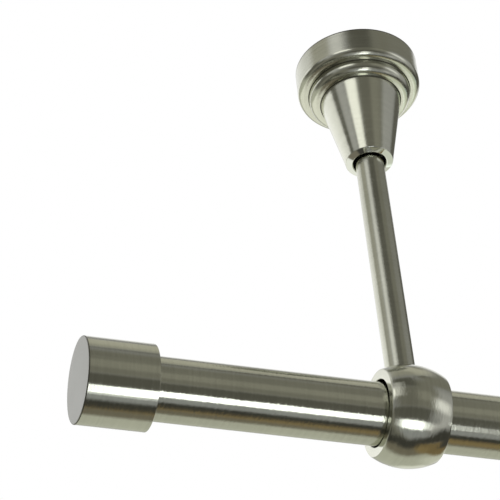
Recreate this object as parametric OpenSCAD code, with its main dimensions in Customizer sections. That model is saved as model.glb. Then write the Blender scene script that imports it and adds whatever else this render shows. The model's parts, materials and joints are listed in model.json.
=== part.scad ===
// Ceiling-fixed curtain rod: one round rod carried by two drop brackets and closed by two end caps.
// Millimetres. +X runs along the rod, +Z points up, and the ceiling is the plane Z = 0.
// The origin is midway between the brackets. The grub screws are all on the window side, +Y.

/* [Rod] */
// Outer diameter of the rod
rod_d = 25; // [20:0.5:30]
// Wall thickness of the rod's tube
rod_wall = 1.2; // [0.8:0.1:2]
// Length of the rod
rod_length = 1200; // [600:10:2400]
// Distance from a bracket's centre to the rod's end
rod_overhang = 128; // [80:1:250]

/* [Drop] */
// Height of the ceiling above the rod's axis
drop = 184; // [150:1:400]
// Diameter of the stem
stem_d = 12; // [10:0.5:14]

/* [Ceiling cover] */
// Diameter of the cover where it meets the ceiling
cover_d = 52.4; // [50:0.2:60]
// Depth of the wide step
wide_step_depth = 13.7; // [12:0.1:16]
// Radius of the wide step's rounded shoulder
wide_shoulder_r = 3; // [2:0.1:4]
// Diameter of the narrow step
narrow_step_d = 43.4; // [40:0.2:46]
// Depth of the narrow step
narrow_step_depth = 18.7; // [17.5:0.1:22]
// Radius of the narrow step's rounded shoulder
narrow_shoulder_r = 3.5; // [2:0.1:4]
// Diameter of the cone where it leaves the narrow step
cone_top_d = 34.2; // [30:0.2:36]
// Diameter of the cone at its polished lip
cone_tip_d = 20; // [19:0.2:22]
// Depth of the cone's lower edge
cone_depth = 52.4; // [45:0.1:70]
// How far the polished nose drops from the cone's edge to the mouth
nose_drop = 1; // [0.6:0.1:1.4]
// Diameter of the hole that the stem passes through
mouth_d = 14; // [14:0.1:16]
// Wall thickness of the cover
cover_wall = 2.2; // [1.6:0.1:2.4]

/* [Ceiling plate] */
// Diameter of the plate inside the cover
plate_d = 46.8; // [44:0.2:47]
// Thickness of the plate
plate_t = 6; // [4:0.5:8]
// Distance between the two ceiling screw holes
screw_spacing = 33; // [30:0.5:36]
// Diameter of a ceiling screw hole
screw_hole_d = 4.6; // [4:0.1:5]
// Diameter of a countersink
countersink_d = 9; // [8:0.2:10]
// Diameter of the threaded hub under the plate
hub_d = 18; // [16:0.5:20]
// Height of the hub
hub_h = 9; // [6:0.5:10]

/* [Ring] */
// Largest diameter of the barrel-shaped ring
ring_d = 40.6; // [40:0.1:44]
// Width of the ring along the rod
ring_w = 24.6; // [22:0.2:28]
// Radius of the barrel curve along the ring's width
barrel_r = 26; // [22:0.5:32]
// Bore of the ring
ring_bore_d = 26.6; // [26.4:0.1:27]
// Height of the ring's centre above the rod's axis, as the rod lies low in the bore
rod_seat_drop = 0.5; // [0.4:0.1:0.6]

/* [End cap] */
// Outer diameter of the end cap
cap_d = 33.6; // [32:0.2:36]
// Length of the end cap
cap_length = 27.6; // [24:0.2:34]
// Thickness of the cap's closed end
cap_end_t = 2.8; // [2:0.1:4]
// Bevel of the cap's edges
cap_bevel = 0.5; // [0.3:0.1:0.8]

/* [Fasteners] */
// Diameter of the studs that join hub and stem
stud_d = 8; // [6:0.5:8]
// Length of a stud
stud_length = 26; // [20:1:30]
// Thread diameter of the countersunk ring bolt
bolt_d = 6; // [5:0.5:6]
// Head diameter of the ring bolt
bolt_head_d = 11; // [10:0.5:11]
// Length of the ring bolt, head included
bolt_length = 18; // [14:1:20]
// Diameter of the ring's grub screw
ring_screw_d = 5; // [4:0.5:6]
// Diameter of the grub screws in covers and caps
small_screw_d = 4; // [3:0.5:4]

/* [Hidden] */
$fn = 96;
cut = 1;                     // how far a cutting solid runs past the surface it cuts
thread_gap = 0.05;           // radial room round a screw that turns in its hole
rod_gap = 0.3;               // room between the rod and what slides along or clamps it
cap_fit = 0.1;               // radial room of the rod in its end cap
plate_gap = 0.3;             // room between the cover's screw and the plate's edge
edge_break = 0.4;            // bevel of small edges
mouth_bore_h = 5;            // height of the short bore round the stem in the cover's nose
cap_screw_inset = 8;         // distance of the cap's grub screw from the cap's open end
socket_share = 0.55;         // part of a grub screw's length that its socket takes

rod_r = rod_d / 2;
bracket_x = rod_length / 2 - rod_overhang;
ring_z = -drop + rod_seat_drop;
hub_bottom_z = -plate_t - hub_h;

cover_r = cover_d / 2;
nose_z = -cone_depth - nose_drop;
cover_bore_r = cover_r - cover_wall;
cover_screw_z = -plate_t / 2;
cover_screw_length = cover_r - plate_d / 2 - plate_gap - edge_break;

ring_face_r = ring_d / 2 - barrel_r + sqrt(pow(barrel_r, 2) - pow(ring_w / 2, 2));
ring_screw_length = ring_d / 2 + rod_seat_drop / 2 - rod_r - rod_gap - 2 * edge_break;
bolt_head_h = (bolt_head_d - bolt_d) / 2;
bolt_head_z = ring_z + ring_bore_d / 2 + rod_gap;                  // the head's flat end
bolt_socket_af = bolt_d * 2 / 3;

cap_inner_x = rod_length / 2 + rod_gap + cap_end_t - cap_length;   // the cap's open end
cap_screw_x = cap_inner_x + cap_screw_inset;
cap_screw_length = cap_d / 2 - rod_r - rod_gap - edge_break;

steel = [0.60, 0.60, 0.54];
zinc = [0.70, 0.72, 0.74];
black_oxide = [0.16, 0.16, 0.17];

// Radius of the cone at a depth below the ceiling
function cone_r(depth) = cone_top_d / 2
    + (cone_tip_d - cone_top_d) / 2 * (depth - narrow_step_depth) / (cone_depth - narrow_step_depth);

// side is -1 for the left bracket and 1 for the right one, which is its mirror image
module on_side(side) {
    if (side > 0) children();
    else mirror([1, 0, 0]) children();
}

module at_bracket(side, z = 0) {
    on_side(side) translate([bracket_x, 0, z]) children();
}

// What is turned about the rod's axis is drawn standing up and laid down along +X
module along_rod() {
    rotate([0, 90, 0]) children();
}

// A hexagon socket, af across its flats, going down from the origin
module hex_socket(af, depth) {
    translate([0, 0, -depth]) cylinder(d = af / cos(30), h = depth + cut, $fn = 6);
}

// A grub screw along +Y: its bevelled tip at the origin, a socket half its diameter wide outside
module grub_screw(d, length) {
    body_d = d - 2 * thread_gap;
    rotate([-90, 0, 0]) difference() {
        union() {
            cylinder(d1 = body_d - 2 * edge_break, d2 = body_d, h = edge_break);
            translate([0, 0, edge_break]) cylinder(d = body_d, h = length - edge_break);
        }
        translate([0, 0, length]) hex_socket(d / 2, length * socket_share);
    }
}

// A straight hole along +Y from the origin outwards
module screw_hole(d, length) {
    rotate([-90, 0, 0]) cylinder(d = d, h = length);
}

module rod() {
    color(steel) translate([0, 0, -drop]) along_rod() difference() {
        cylinder(d = rod_d, h = rod_length, center = true);
        cylinder(d = rod_d - 2 * rod_wall, h = rod_length + 2 * cut, center = true);
    }
}

module ceiling_plate(side) {
    color(zinc) at_bracket(side) difference() {
        union() {
            translate([0, 0, -plate_t + edge_break]) cylinder(d = plate_d, h = plate_t - edge_break);
            translate([0, 0, -plate_t])
                cylinder(d1 = plate_d - 2 * edge_break, d2 = plate_d, h = edge_break);
            translate([0, 0, hub_bottom_z]) cylinder(d = hub_d, h = hub_h + edge_break);
        }
        translate([0, 0, hub_bottom_z - cut])
            cylinder(d = stud_d, h = plate_t + hub_h + 2 * cut);
        for (y = [-1, 1] * screw_spacing / 2) translate([0, y, -plate_t]) {
            translate([0, 0, -cut]) cylinder(d = screw_hole_d, h = plate_t + 2 * cut);
            cylinder(d1 = countersink_d, d2 = screw_hole_d, h = (countersink_d - screw_hole_d) / 2);
            translate([0, 0, -cut]) cylinder(d = countersink_d, h = cut);
        }
    }
}

// Half of the stud is in the hub and half in the stem; it is driven by the socket in its top
module stem_stud(side) {
    color(zinc) at_bracket(side, hub_bottom_z - stud_length / 2) difference() {
        cylinder(d = stud_d - 2 * thread_gap, h = stud_length - edge_break);
        translate([0, 0, stud_length - edge_break]) hex_socket(stud_d / 2, stud_d / 2);
    }
}

// The stem's foot is hollowed to the barrel's curves, so that it stands on the ring all round
module stem(side) {
    color(steel) at_bracket(side) difference() {
        union() {
            translate([0, 0, ring_z + ring_face_r])
                cylinder(d = stem_d, h = hub_bottom_z - edge_break - ring_z - ring_face_r);
            translate([0, 0, hub_bottom_z - edge_break])
                cylinder(d1 = stem_d, d2 = stem_d - 2 * edge_break, h = edge_break);
        }
        translate([0, 0, ring_z]) along_rod() rotate_extrude() barrel_section();
        translate([0, 0, hub_bottom_z - stud_length / 2 - cut])
            cylinder(d = stud_d, h = stud_length / 2 + 2 * cut);
        translate([0, 0, ring_z]) cylinder(d = bolt_d, h = bolt_head_z + bolt_length + cut - ring_z);
    }
}

// Half of a round disc's section hanging from the ceiling, its lower edge rounded
module shouldered_section(r, depth, shoulder_r) {
    difference() {
        translate([0, -depth]) square([r, depth]);
        difference() {
            translate([r - shoulder_r, -depth - cut]) square([shoulder_r + cut, shoulder_r + cut]);
            translate([r - shoulder_r, -depth + shoulder_r]) circle(r = shoulder_r);
        }
    }
}

module cover_outline() {
    shouldered_section(cover_r, wide_step_depth, wide_shoulder_r);
    shouldered_section(narrow_step_d / 2, narrow_step_depth, narrow_shoulder_r);
    polygon([
        [0, nose_z], [mouth_d / 2 + edge_break, nose_z], [cone_r(cone_depth), -cone_depth],
        [cone_r(wide_step_depth), -wide_step_depth], [0, -wide_step_depth]
    ]);
}

// The hollow follows the outline one wall thickness inside, and ends in the mouth's short bore
module cover_hollow() {
    translate([0, -wide_step_depth + cover_wall])
        square([cover_bore_r, wide_step_depth - cover_wall + cut]);
    translate([0, -narrow_step_depth + cover_wall])
        square([narrow_step_d / 2 - cover_wall - edge_break, narrow_step_depth]);
    polygon([
        [0, nose_z - cut], [mouth_d / 2 + edge_break + cut, nose_z - cut],
        [mouth_d / 2, nose_z + edge_break], [mouth_d / 2, nose_z + mouth_bore_h],
        [cone_r(wide_step_depth) - cover_wall - edge_break, -wide_step_depth], [0, -wide_step_depth]
    ]);
}

module ceiling_cover(side) {
    color(steel) at_bracket(side) difference() {
        rotate_extrude() difference() {
            cover_outline();
            cover_hollow();
        }
        translate([0, cover_bore_r - cut, cover_screw_z])
            screw_hole(small_screw_d, cover_wall + 2 * cut);
    }
}

module cover_screw(side) {
    color(black_oxide) at_bracket(side, cover_screw_z)
        translate([0, plate_d / 2 + plate_gap, 0]) grub_screw(small_screw_d, cover_screw_length);
}

// The barrel arc across the ring's width, filled in to its axis
module barrel_section() {
    intersection() {
        translate([ring_d / 2 - barrel_r, 0]) circle(r = barrel_r);
        translate([0, -ring_w / 2]) square([ring_d, ring_w]);
    }
}

// Section of the ring: the barrel outside, flat sides, a straight bore, all edges broken
module ring_section() {
    bore_r = ring_bore_d / 2;
    half_w = ring_w / 2;
    intersection() {
        barrel_section();
        polygon([
            [bore_r + edge_break, -half_w], [ring_face_r - edge_break, -half_w],
            [ring_face_r + 2 * edge_break, -half_w + 2 * edge_break], [ring_d, 0],
            [ring_face_r + 2 * edge_break, half_w - 2 * edge_break],
            [ring_face_r - edge_break, half_w], [bore_r + edge_break, half_w],
            [bore_r, half_w - edge_break], [bore_r, -half_w + edge_break]
        ]);
    }
}

module ring(side) {
    color(steel) difference() {
        at_bracket(side, ring_z) along_rod() rotate_extrude() ring_section();
        at_bracket(side, bolt_head_z + bolt_head_h - cut) cylinder(d = bolt_d, h = stem_d);
        at_bracket(side, bolt_head_z) cylinder(d1 = bolt_head_d, d2 = bolt_d, h = bolt_head_h);
        at_bracket(side, ring_z) cylinder(d = bolt_head_d, h = bolt_head_z - ring_z);
        at_bracket(side, -drop) screw_hole(ring_screw_d, ring_d);
    }
}

module ring_bolt(side) {
    color(black_oxide) at_bracket(side, bolt_head_z) difference() {
        union() {
            cylinder(d1 = bolt_head_d - 2 * thread_gap, d2 = bolt_d - 2 * thread_gap, h = bolt_head_h);
            cylinder(d = bolt_d - 2 * thread_gap, h = bolt_length - edge_break);
        }
        rotate([180, 0, 0]) hex_socket(bolt_socket_af, bolt_head_h);
    }
}

module ring_screw(side) {
    color(black_oxide) at_bracket(side, -drop)
        translate([0, rod_r + rod_gap, 0]) grub_screw(ring_screw_d, ring_screw_length);
}

module cap_section() {
    outer_r = cap_d / 2;
    bore_r = rod_r + cap_fit;
    difference() {
        polygon([
            [0, 0], [outer_r - cap_bevel, 0], [outer_r, cap_bevel],
            [outer_r, cap_length - edge_break / 2], [outer_r - edge_break / 2, cap_length], [0, cap_length]
        ]);
        polygon([
            [0, -cut], [bore_r + edge_break + cut, -cut], [bore_r, edge_break],
            [bore_r, cap_length - cap_end_t], [0, cap_length - cap_end_t]
        ]);
    }
}

module end_cap(side) {
    color(steel) on_side(side) difference() {
        translate([cap_inner_x, 0, -drop]) along_rod() rotate_extrude() cap_section();
        translate([cap_screw_x, 0, -drop]) screw_hole(small_screw_d, cap_d);
    }
}

module cap_screw(side) {
    color(black_oxide) on_side(side) translate([cap_screw_x, rod_r + rod_gap, -drop])
        grub_screw(small_screw_d, cap_screw_length);
}

rod();
ceiling_plate(-1);  // left_ceiling_plate
stem_stud(-1);  // left_stem_stud
stem(-1);  // left_stem
ceiling_cover(-1);  // left_ceiling_cover
cover_screw(-1);  // left_cover_screw
ring(-1);  // left_ring
ring_bolt(-1);  // left_ring_bolt
ring_screw(-1);  // left_ring_screw
end_cap(-1);  // left_end_cap
cap_screw(-1);  // left_cap_screw
ceiling_plate(1);  // right_ceiling_plate
stem_stud(1);  // right_stem_stud
stem(1);  // right_stem
ceiling_cover(1);  // right_ceiling_cover
cover_screw(1);  // right_cover_screw
ring(1);  // right_ring
ring_bolt(1);  // right_ring_bolt
ring_screw(1);  // right_ring_screw
end_cap(1);  // right_end_cap
cap_screw(1);  // right_cap_screw
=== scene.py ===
"""Looks of the ceiling-fixed curtain rod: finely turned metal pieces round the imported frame.

Metres, in the frame of the CAD model: +X runs along the rod, +Z points up to the ceiling at Z = 0.
"""

import json
import math

import bmesh
import bpy
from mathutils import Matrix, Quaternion, Vector

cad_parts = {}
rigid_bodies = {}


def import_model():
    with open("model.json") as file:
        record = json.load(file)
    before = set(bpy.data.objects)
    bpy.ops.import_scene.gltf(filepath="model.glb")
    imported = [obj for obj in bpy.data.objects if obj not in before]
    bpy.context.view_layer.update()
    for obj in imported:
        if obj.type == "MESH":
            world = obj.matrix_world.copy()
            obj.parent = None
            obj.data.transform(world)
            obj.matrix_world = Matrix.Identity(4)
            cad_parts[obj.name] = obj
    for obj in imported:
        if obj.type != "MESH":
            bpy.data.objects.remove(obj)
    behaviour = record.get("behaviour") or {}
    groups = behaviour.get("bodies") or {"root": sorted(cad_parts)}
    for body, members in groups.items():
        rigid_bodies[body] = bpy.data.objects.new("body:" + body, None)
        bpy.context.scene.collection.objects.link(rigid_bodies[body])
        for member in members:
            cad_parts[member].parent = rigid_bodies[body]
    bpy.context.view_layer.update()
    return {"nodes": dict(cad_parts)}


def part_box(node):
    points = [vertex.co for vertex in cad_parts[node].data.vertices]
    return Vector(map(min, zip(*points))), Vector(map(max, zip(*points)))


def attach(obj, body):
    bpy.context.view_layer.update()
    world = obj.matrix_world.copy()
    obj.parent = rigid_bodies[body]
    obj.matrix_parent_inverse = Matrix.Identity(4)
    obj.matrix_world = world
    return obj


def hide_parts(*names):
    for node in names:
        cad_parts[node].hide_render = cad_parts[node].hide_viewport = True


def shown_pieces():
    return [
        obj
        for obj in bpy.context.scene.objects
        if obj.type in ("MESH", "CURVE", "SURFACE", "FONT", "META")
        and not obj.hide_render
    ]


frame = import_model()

MM = 0.001
SIDES = {"left": -1, "right": 1}


# ---------------------------------------------------------------- sizes taken from the frame

def centre_of(node):
    low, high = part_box(node)
    return (low + high) / 2


def size_of(node):
    low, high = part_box(node)
    return high - low


ROD_AXIS = centre_of("rod")
ROD_R = size_of("rod").y / 2
BRACKET = centre_of("left_stem")


# ---------------------------------------------------------------- camera

LENS_MM = 183.4
SENSOR_MM = 36
NEAR_CLIP = 0.01
VIEW_YAW = math.radians(20.86)
VIEW_PITCH = math.radians(39.10)
VIEW_ROLL = math.radians(-6.04)
VIEW_DISTANCE = 1.0156
AIM = Vector((BRACKET.x - 57.4 * MM, 0, ROD_AXIS.z + 74.6 * MM))


def add_camera():
    """The camera hangs below the rod and looks up past the left bracket."""
    forward = Vector((
        math.sin(VIEW_YAW) * math.cos(VIEW_PITCH),
        math.cos(VIEW_YAW) * math.cos(VIEW_PITCH),
        math.sin(VIEW_PITCH),
    ))
    data = bpy.data.cameras.new("camera")
    data.lens = LENS_MM
    data.sensor_width = SENSOR_MM
    data.clip_start = NEAR_CLIP
    camera = bpy.data.objects.new("camera", data)
    bpy.context.scene.collection.objects.link(camera)
    camera.location = AIM - forward * VIEW_DISTANCE
    camera.rotation_mode = "QUATERNION"
    level = forward.to_track_quat("-Z", "Y")
    camera.rotation_quaternion = level @ Quaternion((0, 0, 1), VIEW_ROLL)
    bpy.context.scene.camera = camera


add_camera()
bpy.context.scene.view_settings.view_transform = "Standard"


# ---------------------------------------------------------------- shader writing

class Value:
    """A number in a node tree. Python arithmetic on it adds Math nodes."""

    def __init__(self, tree, socket):
        self.tree = tree
        self.socket = socket

    def math(self, operation, *operands):
        node = self.tree.nodes.new("ShaderNodeMath")
        node.operation = operation
        for place, operand in zip(node.inputs, operands):
            connect(self.tree, place, operand)
        return Value(self.tree, node.outputs[0])

    def __add__(self, other):
        return self.math("ADD", self, other)

    def __radd__(self, other):
        return self.math("ADD", other, self)

    def __sub__(self, other):
        return self.math("SUBTRACT", self, other)

    def __rsub__(self, other):
        return self.math("SUBTRACT", other, self)

    def __mul__(self, other):
        return self.math("MULTIPLY", self, other)

    def __rmul__(self, other):
        return self.math("MULTIPLY", other, self)

    def __truediv__(self, other):
        return self.math("DIVIDE", self, other)


def connect(tree, place, value):
    """Sets a socket to a number, a colour or the output of another node."""
    if isinstance(value, Value):
        tree.links.new(value.socket, place)
    elif isinstance(value, bpy.types.NodeSocket):
        tree.links.new(value, place)
    else:
        place.default_value = value


class Shader:
    """Writes one node tree."""

    def __init__(self, tree):
        self.tree = tree
        tree.nodes.clear()

    def node(self, kind, settings=None, inputs=None):
        """Adds a node: its settings come first, then the values or links of its sockets."""
        made = self.tree.nodes.new("ShaderNode" + kind)
        for name, value in (settings or {}).items():
            setattr(made, name, value)
        for name, value in (inputs or {}).items():
            connect(self.tree, made.inputs[name], value)
        return made

    def value(self, socket):
        return Value(self.tree, socket)

    def parts(self, vector):
        """X, Y and Z of a vector."""
        split = self.node("SeparateXYZ", inputs={"Vector": vector})
        return [self.value(out) for out in split.outputs]

    def vector(self, x, y, z):
        return self.node("CombineXYZ", inputs={"X": x, "Y": y, "Z": z}).outputs[0]

    def step(self, value, low, high):
        """0 below low, 1 above high, smooth in between."""
        node = self.node(
            "MapRange", {"interpolation_type": "SMOOTHSTEP"},
            {"Value": value, "From Min": low, "From Max": high},
        )
        return self.value(node.outputs["Result"])

    def band(self, value, low, high, soft):
        """1 between low and high, with edges that are soft wide."""
        rise = self.step(value, low - soft / 2, low + soft / 2)
        fall = self.step(value, high - soft / 2, high + soft / 2)
        return rise * (1 - fall)

    def mix(self, factor, first, second):
        """A colour between two colours."""
        node = self.node("Mix", {"data_type": "RGBA"})
        connect(self.tree, node.inputs["Factor"], factor)
        connect(self.tree, node.inputs[6], first)
        connect(self.tree, node.inputs[7], second)
        return node.outputs[2]


# ---------------------------------------------------------------- studio

WHITE = (1, 1, 1, 1)


def grey(level):
    return (level, level, level, 1)


def warm(level):
    """The yellowish grey of the unlit parts of the room."""
    return (level, 0.98 * level, 0.84 * level, 1)


# What stands round the object, from the farthest to the nearest:
# bearing from and to (0 is behind the rod, 90 its right end, 180 the viewer), elevation from and to,
# softness of the edges across and up, all in degrees, and the colour
CARDS = {
    "backdrop": (285, 414, 24, 40, 14, 20, grey(1.25)),
    "backdrop head": (330, 420, 54, 78, 30, 10, grey(0.5)),
    "backdrop top": (298, 414, 39, 57, 30, 10, grey(1.0)),
    "backdrop shade": (250, 312, 37, 52, 60, 8, grey(0.58)),
    "low back": (-58, 60, -49, 16, 20, 12, (0.57, 0.58, 0.50, 1)),
    "low back right": (30, 58, -31, 12, 12, 14, (0.74, 0.75, 0.66, 1)),
    "low back edge": (34, 60, 6, 25, 12, 10, grey(1.15)),
    "low far": (-60, 76, -72, -47, 30, 10, (0.21, 0.19, 0.145, 1)),
    "upper right": (50, 150, 62, 100, 30, 16, warm(0.54)),
    "upper front": (140, 300, 66, 100, 24, 16, warm(0.37)),
    "upper left": (222, 325, 46, 66, 24, 12, grey(0.95)),
    "upper left top": (222, 330, 64, 82, 30, 12, grey(0.6)),
    "upper line": (30, 75, 66, 70, 16, 3, warm(0.2)),
    "dark beam": (122, 152, 55, 61, 8, 3, warm(0.12)),
    "right wall": (86, 138, -24, 32, 14, 20, grey(0.44)),
    "right wall top": (60, 150, 38, 58, 20, 8, warm(0.23)),
    "dark doorway": (58, 84, -20, 30, 8, 12, warm(0.12)),
    "dark lintel": (36, 84, 29, 40, 8, 5, warm(0.13)),
    "left wall": (244, 275, -10, 52, 14, 20, grey(0.5)),
    "left wall top": (250, 292, 35, 50, 16, 8, warm(0.42)),
    "left post": (267, 284, -40, 31, 7, 12, warm(0.14)),
    "left foot": (252, 302, -40, 8, 12, 8, warm(0.13)),
    "front room": (136, 176, -14, 50, 14, 14, warm(0.23)),
    "front table": (148, 186, 3, 23, 14, 10, warm(0.31)),
    "dark front": (172, 207, -14, 34, 8, 12, warm(0.19)),
    "dark front top": (168, 212, 34, 58, 12, 8, warm(0.12)),
    "window": (209, 238, 10, 32, 7, 12, (1.5, 1.5, 1.45, 1)),
    "window top": (221, 246, 31, 41, 12, 8, grey(0.95)),
    "window head": (228, 248, 40, 50, 14, 8, grey(0.68)),
    "side lamp": (112, 143, -8, 12, 14, 14, grey(1.05)),
    "side glow": (104, 122, -34, -8, 10, 8, grey(0.56)),
    "side foot": (118, 133, -50, -34, 10, 8, grey(0.7)),
    "low front": (146, 222, -41, -14, 12, 8, warm(0.12)),
    "low left": (222, 302, -95, -14, 14, 12, warm(0.22)),
    "low left dark": (244, 304, -62, -38, 12, 8, warm(0.07)),
    "low left deep": (268, 312, -85, -56, 14, 10, warm(0.05)),
    "low brown": (46, 80, -72, -14, 8, 10, (0.24, 0.18, 0.09, 1)),
    "low brown foot": (38, 62, -69, -48, 10, 6, (0.29, 0.22, 0.11, 1)),
    "low door": (62, 94, -34, -8, 10, 8, warm(0.07)),
    "low grey": (114, 226, -82, -56, 10, 5, (0.35, 0.36, 0.37, 1)),
    "low post": (80, 106, -95, -25, 6, 8, warm(0.06)),
    "low post foot": (75, 106, -84, -60, 6, 5, warm(0.06)),
    "nadir": (-120, 120, -100, -69, 20, 6, warm(0.06)),
}

ELSEWHERE = grey(0.3)
FULL_TURN = 360


def write_world():
    """The camera sees plain white all round. The metal mirrors the cards, a soft lit room."""
    world = bpy.data.worlds.new("studio")
    world.use_nodes = True
    bpy.context.scene.world = world
    shader = Shader(world.node_tree)
    x, y, z = shader.parts(shader.node("TexCoord").outputs["Generated"])
    bearing = x.math("ARCTAN2", x, y) * math.degrees(1)
    whole_turn = bearing + FULL_TURN * bearing.math("LESS_THAN", bearing, 0)
    elevation = z.math("ARCSINE", z) * math.degrees(1)
    colour = ELSEWHERE
    for left, right, low, high, across, up, tone in CARDS.values():
        around = bearing if left < 0 else whole_turn
        card = shader.band(around, left, right, across) * shader.band(elevation, low, high, up)
        if right > FULL_TURN:  # drawn again one turn on, for its part past the back
            around = bearing + FULL_TURN
            card = card + shader.band(around, left, right, across) * shader.band(
                elevation, low, high, up)
        colour = shader.mix(card, colour, tone)
    surround = shader.node("Background", inputs={"Color": colour, "Strength": 1.0})
    white = shader.node("Background", inputs={"Color": WHITE, "Strength": 1.0})
    path = shader.node("LightPath")
    seen = shader.node("MixShader", inputs={"Fac": path.outputs["Is Camera Ray"]})
    shader.tree.links.new(surround.outputs[0], seen.inputs[1])
    shader.tree.links.new(white.outputs[0], seen.inputs[2])
    shader.node("OutputWorld", inputs={"Surface": seen.outputs[0]})


write_world()


# ---------------------------------------------------------------- modelling by hand

def deselect_all():
    for thing in bpy.context.view_layer.objects:
        thing.select_set(False)


def select_only(piece):
    deselect_all()
    bpy.context.view_layer.objects.active = piece
    piece.select_set(True)


def start_edit(piece):
    select_only(piece)
    bpy.ops.object.mode_set(mode="EDIT")


def end_edit():
    bpy.ops.object.mode_set(mode="OBJECT")


def select_verts(piece, wanted):
    """In edit mode, selects the vertices whose place passes the test."""
    mesh = bmesh.from_edit_mesh(piece.data)
    bpy.ops.mesh.select_mode(type="VERT")
    for vert in mesh.verts:
        vert.select = bool(wanted(vert.co))
    mesh.select_flush(True)
    bmesh.update_edit_mesh(piece.data)


AXES = {"X": Vector((1, 0, 0)), "Z": Vector((0, 0, 1))}
SEGMENTS = 160
SAME_PLACE = 0.001 * MM
FEWEST_STEPS = 3
MOST_STEPS = 12
STEPS_PER_MM = 4


def arc(middle, radius, start, end, steps):
    """Points of a profile on an arc: middle is (radius, place), angles are degrees from outwards."""
    turns = [math.radians(start + (end - start) * i / steps) for i in range(steps + 1)]
    return [
        (middle[0] + radius * math.cos(turn), middle[1] + radius * math.sin(turn), 0)
        for turn in turns
    ]


def rounding_steps(rounding):
    return min(MOST_STEPS, max(FEWEST_STEPS, round(STEPS_PER_MM * rounding / MM)))


def turned(name, profile, axis, centre, segments=SEGMENTS):
    """A turned piece. profile lists (radius, place along the axis, rounding). It is drawn by
    extruding a point, its corners are rounded by bevels, and it is spun once round the axis."""
    along = AXES[axis]
    outward = Vector((0, 1, 0))
    points = [centre + outward * radius + along * place for radius, place, _ in profile]
    deselect_all()
    bpy.ops.mesh.primitive_plane_add(size=MM, location=(0, 0, 0))
    piece = bpy.context.object
    piece.name = name
    piece.data.name = name
    start_edit(piece)
    bpy.ops.mesh.select_all(action="SELECT")
    bpy.ops.mesh.merge(type="CENTER")
    bpy.ops.transform.translate(value=points[0])
    for before, after in zip(points, points[1:]):
        bpy.ops.mesh.extrude_region_move(TRANSFORM_OT_translate={"value": after - before})
    if profile[0][0] > 0:  # a profile that starts off the axis is closed into a loop
        select_verts(piece, lambda place: min(
            (place - points[0]).length, (place - points[-1]).length) < SAME_PLACE)
        bpy.ops.mesh.edge_face_add()
    for point, (_, _, rounding) in zip(points, profile):
        if rounding:
            select_verts(piece, lambda place: (place - point).length < SAME_PLACE)
            bpy.ops.mesh.bevel(
                offset=rounding, offset_type="OFFSET", segments=rounding_steps(rounding),
                affect="VERTICES", profile=0.5,
            )
    bpy.ops.mesh.select_all(action="SELECT")
    bpy.ops.mesh.spin(
        steps=segments, angle=2 * math.pi, use_normal_flip=False,
        center=centre, axis=along,
    )
    bpy.ops.mesh.select_all(action="SELECT")
    bpy.ops.mesh.remove_doubles(threshold=SAME_PLACE)
    bpy.ops.mesh.normals_make_consistent(inside=False)
    end_edit()
    return piece


def cut_away(piece, cutter):
    """Takes the cutter's shape out of the piece, and removes the cutter."""
    cut = piece.modifiers.new("cut", "BOOLEAN")
    cut.operation = "DIFFERENCE"
    cut.solver = "EXACT"
    cut.object = cutter
    select_only(piece)
    bpy.ops.object.modifier_apply(modifier=cut.name)
    bpy.data.objects.remove(cutter)


SHARP_ANGLE = math.radians(30)
FLATS_FIRST = 100


def smooth(piece):
    """Smooth shading that keeps the flats flat beside their rounded edges."""
    select_only(piece)
    bpy.ops.object.shade_smooth_by_angle(angle=SHARP_ANGLE)
    weighted = piece.modifiers.new("weighted", "WEIGHTED_NORMAL")
    weighted.keep_sharp = True
    weighted.weight = FLATS_FIRST
    bpy.ops.object.modifier_apply(modifier=weighted.name)


DRILL_SIDES = 48
SMALL_SCREW_D = 4 * MM
RING_SCREW_D = 5 * MM


def drill(diameter, start, end):
    """A drill bit's shape between two points, to cut a hole with."""
    run = end - start
    deselect_all()
    bpy.ops.mesh.primitive_cylinder_add(
        vertices=DRILL_SIDES, radius=diameter / 2, depth=run.length, location=(start + end) / 2,
        rotation=run.to_track_quat("Z", "Y").to_euler(),
    )
    bit = bpy.context.object
    bpy.ops.object.transform_apply(location=True, rotation=True, scale=True)
    return bit


def cut_screw_hole(piece, screw, diameter, inward, outward):
    """A hole along +Y for a grub screw, from inward of the screw's middle to outward of it."""
    middle = centre_of(screw)
    cut_away(piece, drill(diameter, middle - Vector((0, inward, 0)), middle + Vector((0, outward, 0))))


# ---------------------------------------------------------------- materials

STEEL = (0.605, 0.61, 0.52, 1)
NOSE_STEEL = (0.72, 0.73, 0.68, 1)
CAP_FACE = (0.36, 0.362, 0.338, 1)
# painted shade: a dark grey that stands in for the dark outline round the cap's end face
CAP_PAINTED_SHADE = (0.16, 0.155, 0.13, 1)
# painted shade: a near-black tone that stands in for the dark line along the cover's top rim and in the
# corners between its steps
COVER_PAINTED_SHADE = (0.12, 0.115, 0.095, 1)
ZINC = (0.62, 0.64, 0.66, 1)
OXIDE = (0.07, 0.07, 0.075, 1)

# Lumps of noise in a metre: along the axis and round it, or one figure for every direction
FINE_LINES = (18000, 80)
LINES = (1100, 30)
SCRATCHES = (1300, 350)
WEAR = 40
GRAIN = 6000.0
CLOUDS = 90.0

# Lines across a flat end, for each line on the same length of wall
FLAT_SHARE = 0.73
# How far along the axis a scratch moves for each step round it
SCRATCH_SLANT = 0.45

# How deep the marks are, the broad lines as a share of the fine ones
LINE_DEPTH = 0.007 * MM
BROAD_SHARE = 0.6

# How much the marks change the roughness
LINE_ROUGHNESS = 0.10
WEAR_ROUGHNESS = 0.08
SCRATCH_ROUGHNESS = 0.12
CLOUD_ROUGHNESS = 0.08

# The steel's tone from its dark to its light marks, and a plain metal's in its darker clouds
DARK_TONE = 0.76
LIGHT_TONE = 1.18
CLOUD_TONE = 0.93


def new_material(name):
    material = bpy.data.materials.new(name)
    material.use_nodes = True
    return material, Shader(material.node_tree)


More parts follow.
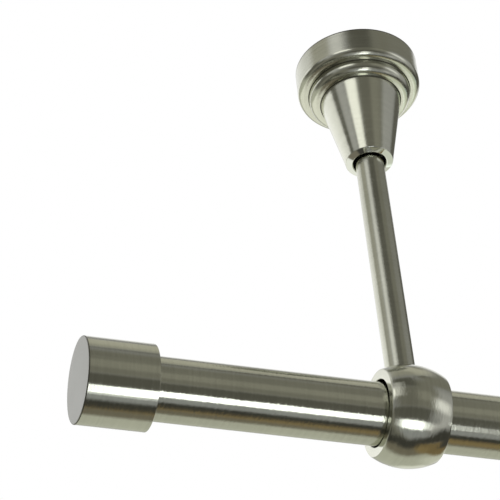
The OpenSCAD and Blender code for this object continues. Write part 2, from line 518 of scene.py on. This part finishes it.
def finish_material(shader, inputs):
    """Closes a material with one Principled surface."""
    surface = shader.node("BsdfPrincipled", inputs=inputs)
    shader.node("OutputMaterial", inputs={"Surface": surface.outputs[0]})


def noise(shader, vector, detail, scale=1.0, roughness=0.5):
    made = shader.node("TexNoise", inputs={
        "Vector": vector, "Scale": scale, "Detail": detail, "Roughness": roughness,
    })
    return shader.value(made.outputs["Fac"])


def tinted(colour, share):
    """The colour at a share of its strength."""
    return tuple(share * part for part in colour[:3]) + (1,)


def crossing_scratches(shader, place, one, other):
    """Short scratches that cross each other at a slant to the turned lines, from the grinding belt."""
    around = one.math("ARCTAN2", one, other) * ROD_R
    crossing = []
    for slant in (-SCRATCH_SLANT, SCRATCH_SLANT):
        along = place + around * slant
        where = shader.vector(along * SCRATCHES[0], around * SCRATCHES[1], slant)
        crossing.append(noise(shader, where, detail=1))
    return crossing[0].math("MAXIMUM", *crossing)


def turned_steel(name, axis, centre, roughness, scratch_depth=0.02 * MM):
    """Satin steel with fine lines that run round the axis, as turning and belt grinding leave them."""
    material, shader = new_material(name)
    x, y, z = shader.parts(shader.node("TexCoord").outputs["Object"])
    x, y, z = x - centre.x, y - centre.y, z - centre.z
    place, one, other = (x, y, z) if axis == "X" else (z, x, y)
    squares = one * one + other * other
    across = place + squares.math("SQRT", squares) * FLAT_SHARE

    def ringed(count, detail, roughness=0.5):
        along, around = count
        where = shader.vector(across * along, one * around, other * around)
        return noise(shader, where, detail, roughness=roughness)

    fine = ringed(FINE_LINES, detail=1)
    lines = ringed(LINES, detail=3, roughness=0.7)
    worn = noise(shader, shader.vector(x * WEAR, y * WEAR, z * WEAR), detail=3)
    scratches = crossing_scratches(shader, place, one, other)
    bump = shader.node("Bump", inputs={
        "Strength": 1.0, "Distance": LINE_DEPTH, "Filter Width": 0.05,
        "Height": fine + lines * BROAD_SHARE + scratches * (scratch_depth / LINE_DEPTH),
    })
    rough = roughness + (lines - 0.5) * LINE_ROUGHNESS + (worn - 0.5) * WEAR_ROUGHNESS
    finish_material(shader, {
        "Base Color": shader.mix(
            (lines + worn) / 2, tinted(STEEL, DARK_TONE), tinted(STEEL, LIGHT_TONE)),
        "Metallic": 1.0,
        "Roughness": rough + (scratches - 0.5) * SCRATCH_ROUGHNESS,
        "Normal": bump.outputs["Normal"],
    })
    return material


def plain_metal(name, colour, roughness, grain_depth=0.002 * MM):
    """Metal with a fine even grain."""
    material, shader = new_material(name)
    place = shader.node("TexCoord").outputs["Object"]
    grainy = noise(shader, place, detail=2, scale=GRAIN)
    cloudy = noise(shader, place, detail=3, scale=CLOUDS)
    bump = shader.node("Bump", inputs={
        "Strength": 1.0, "Distance": grain_depth, "Height": grainy,
    })
    finish_material(shader, {
        "Base Color": shader.mix(cloudy, tinted(colour, CLOUD_TONE), colour),
        "Metallic": 1.0,
        "Roughness": roughness + (cloudy - 0.5) * CLOUD_ROUGHNESS,
        "Normal": bump.outputs["Normal"],
    })
    return material


def give(piece, *materials):
    piece.data.materials.clear()
    for material in materials:
        piece.data.materials.append(material)


def paint_faces(piece, slot, wanted):
    """Gives a material slot to the faces whose centre and normal pass the test."""
    for face in piece.data.polygons:
        if wanted(face.center, face.normal):
            face.material_index = slot


# ---------------------------------------------------------------- the rod

ROD_WALL = 1.2 * MM
ROD_EDGE = 0.3 * MM
EDGE = 0.4 * MM
FINE_EDGE = 0.2 * MM


def make_rod():
    half = size_of("rod").x / 2
    inner = ROD_R - ROD_WALL
    piece = turned("curtain_rod", [
        (ROD_R, -half, ROD_EDGE), (ROD_R, half, ROD_EDGE),
        (inner, half, FINE_EDGE), (inner, -half, FINE_EDGE),
    ], "X", ROD_AXIS)
    smooth(piece)
    give(piece, turned_steel("rod_steel", "X", ROD_AXIS, roughness=0.09, scratch_depth=0.045 * MM))
    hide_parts("rod")
    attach(piece, "rod")


# ---------------------------------------------------------------- end caps

CAP_BEVEL = 0.5 * MM
CAP_END = 2.8 * MM
CAP_FIT = 0.1 * MM
CAP_HOLE_DEPTH = 4 * MM
FACES_OUT = 0.95


def make_end_cap(side):
    node = f"{side}_end_cap"
    sign = SIDES[side]
    low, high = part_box(node)
    length = high.x - low.x
    radius = (high.y - low.y) / 2
    bore = ROD_R + CAP_FIT
    centre = Vector((high.x if sign < 0 else low.x, ROD_AXIS.y, ROD_AXIS.z))
    piece = turned(f"{side}_cap", [
        (0, sign * length, 0), (radius, sign * length, CAP_BEVEL), (radius, 0, FINE_EDGE),
        (bore, 0, EDGE), (bore, sign * (length - CAP_END), 0), (0, sign * (length - CAP_END), 0),
    ], "X", centre)
    cut_screw_hole(piece, f"{side}_cap_screw", SMALL_SCREW_D, CAP_HOLE_DEPTH, radius)
    smooth(piece)
    give(piece, turned_steel(f"{side}_cap_steel", "X", centre, roughness=0.08),
         plain_metal(f"{side}_cap_face", CAP_FACE, roughness=0.42),
         plain_metal(f"{side}_cap_painted_shade", CAP_PAINTED_SHADE, roughness=0.35))
    # painted shade: the bevel round the cap's end gets the dark grey
    paint_faces(piece, 2, lambda place, normal: abs(place.x - centre.x) > length - CAP_BEVEL)
    paint_faces(piece, 1, lambda place, normal: normal.x * sign > FACES_OUT and
                abs(place.x - centre.x) > length - MM)
    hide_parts(node)
    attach(piece, f"{side}_cap")


# ---------------------------------------------------------------- rings

RING_BORE_R = 13.3 * MM
BARREL_R = 26 * MM
BARREL_STEPS = 24
RING_HOLE_DEPTH = 5 * MM


def barrel_arc(node):
    """The barrel curve across a ring's width, from its low to its high side."""
    half = size_of(node).x / 2
    crown = size_of(node).y / 2
    lean = math.degrees(math.asin(half / BARREL_R))
    return arc((crown - BARREL_R, 0), BARREL_R, -lean, lean, BARREL_STEPS)


def ring_centre(side):
    """The middle of the ring's round outline, measured up from its lowest point."""
    node = f"{side}_ring"
    return Vector((centre_of(node).x, 0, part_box(node)[0].z + size_of(node).y / 2))


def make_ring(side):
    node = f"{side}_ring"
    half = size_of(node).x / 2
    centre = ring_centre(side)
    barrel = barrel_arc(node)
    edge_r = barrel[0][0]
    piece = turned(f"{side}_barrel_ring", [
        (edge_r, -half, EDGE), *barrel[1:-1], (edge_r, half, EDGE),
        (RING_BORE_R, half, EDGE), (RING_BORE_R, -half, EDGE),
    ], "X", centre)
    cut_screw_hole(piece, f"{side}_ring_screw", RING_SCREW_D, RING_HOLE_DEPTH, ROD_R)
    smooth(piece)
    give(piece, turned_steel(f"{side}_ring_steel", "X", centre, roughness=0.095,
                             scratch_depth=0.04 * MM))
    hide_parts(node)
    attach(piece, "brackets")


# ---------------------------------------------------------------- stems

STEM_SEGMENTS = 128


def make_stem(side):
    """The bar's foot is cut to the barrel's shape, so that it stands on the ring all round."""
    node = f"{side}_stem"
    low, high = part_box(node)
    centre = Vector(((low.x + high.x) / 2, 0, high.z))
    ring = ring_centre(side)
    radius = (high.x - low.x) / 2
    foot = ring.z - high.z + RING_BORE_R + MM
    piece = turned(f"{side}_drop_stem", [
        (0, 0, 0), (radius, 0, EDGE), (radius, foot, 0), (0, foot, 0),
    ], "Z", centre, segments=STEM_SEGMENTS)
    half = size_of(f"{side}_ring").x / 2
    barrel = barrel_arc(f"{side}_ring")
    cut_away(piece, turned("barrel", [(0, -half, 0), *barrel, (0, half, 0)], "X", ring))
    smooth(piece)
    give(piece, turned_steel(f"{side}_stem_steel", "Z", centre, roughness=0.16))
    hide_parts(node)
    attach(piece, "brackets")


# ---------------------------------------------------------------- ceiling covers

WIDE_DEPTH = 13.7 * MM
WIDE_SHOULDER = 3 * MM
NARROW_R = 21.7 * MM
NARROW_DEPTH = 18.7 * MM
NARROW_SHOULDER = 3.5 * MM
CONE_TOP_R = 17.1 * MM
CONE_TIP_R = 10 * MM
CONE_DEPTH = 52.4 * MM
MOUTH_R = 7 * MM
MOUTH_LENGTH = 5 * MM
COVER_WALL = 2.2 * MM
RIM = 0.6 * MM
CORNER = 0.35 * MM
TIP_ROUNDING = 0.15 * MM
MOUTH_ROUNDING = 0.25 * MM
POLISH_START = CONE_DEPTH - 0.05 * MM
COVER_HOLE_DEPTH = 2 * MM


def in_corner(place):
    """Whether a place on the cover is in the corner where two steps meet, where the cover gets painted
    shade. It is measured from the middle of the cover's ceiling end."""
    out = math.hypot(place.x, place.y)
    return any(
        abs(out - r) < CORNER and abs(place.z + depth) < CORNER
        for r, depth in ((NARROW_R, WIDE_DEPTH), (CONE_TOP_R, NARROW_DEPTH))
    )


def make_cover(side):
    """The cover: two rounded steps and a cone, hollow inside, its nose polished round the stem, with
    painted shade on its top rim and in its step corners.
    """
    node = f"{side}_ceiling_cover"
    low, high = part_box(node)
    centre = Vector(((low.x + high.x) / 2, 0, high.z))
    radius = (high.x - low.x) / 2
    nose = low.z - high.z
    inner_cone = CONE_TOP_R - COVER_WALL
    piece = turned(f"{side}_cover_shell", [
        (radius, 0, FINE_EDGE), (radius, -RIM, 0), (radius, -WIDE_DEPTH, WIDE_SHOULDER),
        (NARROW_R, -WIDE_DEPTH, CORNER), (NARROW_R, -NARROW_DEPTH, NARROW_SHOULDER),
        (CONE_TOP_R, -NARROW_DEPTH, CORNER), (CONE_TIP_R, -CONE_DEPTH, TIP_ROUNDING),
        (MOUTH_R + EDGE, nose, MOUTH_ROUNDING), (MOUTH_R, nose + EDGE, 0),
        (MOUTH_R, nose + MOUTH_LENGTH, 0),
        (inner_cone, -NARROW_DEPTH, 0), (inner_cone, -NARROW_DEPTH + COVER_WALL, 0),
        (NARROW_R - COVER_WALL, -NARROW_DEPTH + COVER_WALL, 0),
        (NARROW_R - COVER_WALL, -WIDE_DEPTH + COVER_WALL, 0),
        (radius - COVER_WALL, -WIDE_DEPTH + COVER_WALL, 0), (radius - COVER_WALL, 0, FINE_EDGE),
    ], "Z", centre)
    cut_screw_hole(piece, f"{side}_cover_screw", SMALL_SCREW_D, COVER_HOLE_DEPTH, radius)
    smooth(piece)
    give(piece, turned_steel(f"{side}_cover_steel", "Z", centre, roughness=0.16),
         plain_metal(f"{side}_nose_polish", NOSE_STEEL, roughness=0.05, grain_depth=0.0003 * MM),
         plain_metal(f"{side}_cover_painted_shade", COVER_PAINTED_SHADE, roughness=0.35))
    paint_faces(piece, 1, lambda place, normal: place.z < centre.z - POLISH_START)
    # painted shade: the faces by the top rim and in the corners where two steps meet get the dark tone
    paint_faces(piece, 2, lambda place, normal: place.z > centre.z - RIM or in_corner(place - centre))
    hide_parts(node)
    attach(piece, f"{side}_cover")


make_rod()
for side in SIDES:
    make_end_cap(side)
    make_ring(side)
    make_stem(side)
    make_cover(side)


# ---------------------------------------------------------------- lamps and sheets close to the brackets

def hang_light(name, target, bearing, elevation, reach, across, up, level, tint, pieces):
    """A lit rectangle at a distance from its target and facing it; bearing, elevation and its spread
    are in degrees, as the target sees them. It shines on the given pieces only."""
    turn, tilt = math.radians(bearing), math.radians(elevation)
    away = Vector((math.sin(turn) * math.cos(tilt), math.cos(turn) * math.cos(tilt), math.sin(tilt)))
    data = bpy.data.lights.new(name, "AREA")
    data.shape = "RECTANGLE"
    data.size = 2 * reach * math.tan(math.radians(across / 2))
    data.size_y = 2 * reach * math.tan(math.radians(up / 2))
    data.energy = level * math.pi * data.size * data.size_y
    data.color = tint
    light = bpy.data.objects.new(name, data)
    bpy.context.scene.collection.objects.link(light)
    light.location = target + away * reach
    light.rotation_euler = away.to_track_quat("Z", "Y").to_euler()
    light.visible_camera = False
    lit = bpy.data.collections.new(name)
    for piece in pieces:
        lit.objects.link(piece)
    light.light_linking.receiver_collection = lit


NEUTRAL = (1, 1, 1)
COOL = (0.96, 1, 1)
GREENISH = (0.85, 1, 0.95)

# For each light: the CAD node that it faces, its bearing, elevation and distance from there, its
# width and height in degrees as seen from there, its level, its tint and what it shines on
LIGHTS = {
    "lamp": ("ring", 180.5, -53, 0.25, 35, 19, 2.05, COOL, "all but the covers"),
    "lamp_glow": ("ring", 180, -53, 0.25, 54, 16, 0.5, COOL, "all but the covers"),
    "window_sheet": ("ring", 203, 28, 0.6, 14, 34, 0.4, NEUTRAL, "barrel_ring"),
    "foot_sheet": ("ring", 143, -46, 0.6, 16, 12, 0.6, COOL, "barrel_ring"),
    "edge_sheet": ("ring", 22, 6, 0.6, 14, 26, 0.3, NEUTRAL, "barrel_ring"),
    "cap_sheet": ("end_cap", 166, -62, 0.3, 22, 8, 0.6, COOL, "cap"),
    "cover_lamp": ("ceiling_cover", 178, -67, 0.385, 13, 13, 2.8, COOL, "cover_shell"),
    "right_sheet": ("ceiling_cover", 58, -37, 0.6, 32, 44, 0.6, GREENISH, "cover_shell"),
    "back_sheet": ("ceiling_cover", 1, -26, 0.6, 62, 48, 0.5, NEUTRAL, "cover_shell"),
    "front_sheet": ("ceiling_cover", 180, -48, 0.6, 12, 16, 1.6, NEUTRAL, "cover_shell"),
}

for side in SIDES:
    for name, (faces, *where, level, tint, shines_on) in LIGHTS.items():
        if shines_on == "all but the covers":
            pieces = [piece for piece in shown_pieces() if not piece.name.endswith("cover_shell")]
        else:
            pieces = [bpy.data.objects[f"{side}_{shines_on}"]]
        hang_light(f"{side}_{name}", centre_of(f"{side}_{faces}"), *where, level, tint, pieces)


# ---------------------------------------------------------------- small CAD parts

zinc = plain_metal("zinc_plating", ZINC, roughness=0.30)
oxide = plain_metal("black_oxide", OXIDE, roughness=0.42)
for name, node in frame["nodes"].items():
    if name.endswith(("ceiling_plate", "stem_stud")):
        give(node, zinc)
    if name.endswith(("screw", "bolt")):
        give(node, oxide)


# ---------------------------------------------------------------- floor

FLOOR_DROP = 2.4
FLOOR_R = 6
FLOOR_SIDES = 64
FADE_MIDDLE = 0.7 * FLOOR_R
FADE_WIDTH = 0.5 * FLOOR_R
FLOOR_PAINT = (0.9, 0.9, 0.89, 1)
FLOOR_LIFT = (0.45, 0.45, 0.445, 1)


def add_floor():
    """A plain pale floor, a room's height below the ceiling; it fades out before its rim, and from
    below one sees through it."""
    deselect_all()
    bpy.ops.mesh.primitive_circle_add(
        vertices=FLOOR_SIDES, radius=FLOOR_R, fill_type="NGON", location=(0, 0, -FLOOR_DROP),
    )
    floor = bpy.context.object
    floor.name = "floor"
    material, shader = new_material("floor")
    x, y, _ = shader.parts(shader.node("TexCoord").outputs["Object"])
    squares = x * x + y * y
    here = shader.band(squares.math("SQRT", squares), -FLOOR_R, FADE_MIDDLE, FADE_WIDTH)
    above = 1 - shader.value(shader.node("NewGeometry").outputs["Backfacing"])
    pale = shader.node("BsdfDiffuse", inputs={"Color": FLOOR_PAINT})
    lit = shader.node("Emission", inputs={"Color": FLOOR_LIFT})
    both = shader.node("AddShader")
    clear = shader.node("BsdfTransparent")
    seen = shader.node("MixShader", inputs={"Fac": here * above})
    shader.tree.links.new(pale.outputs[0], both.inputs[0])
    shader.tree.links.new(lit.outputs[0], both.inputs[1])
    shader.tree.links.new(clear.outputs[0], seen.inputs[1])
    shader.tree.links.new(both.outputs[0], seen.inputs[2])
    shader.node("OutputMaterial", inputs={"Surface": seen.outputs[0]})
    floor.data.materials.append(material)
    floor.visible_glossy = False
    floor.visible_diffuse = False
    floor.visible_shadow = False


add_floor()
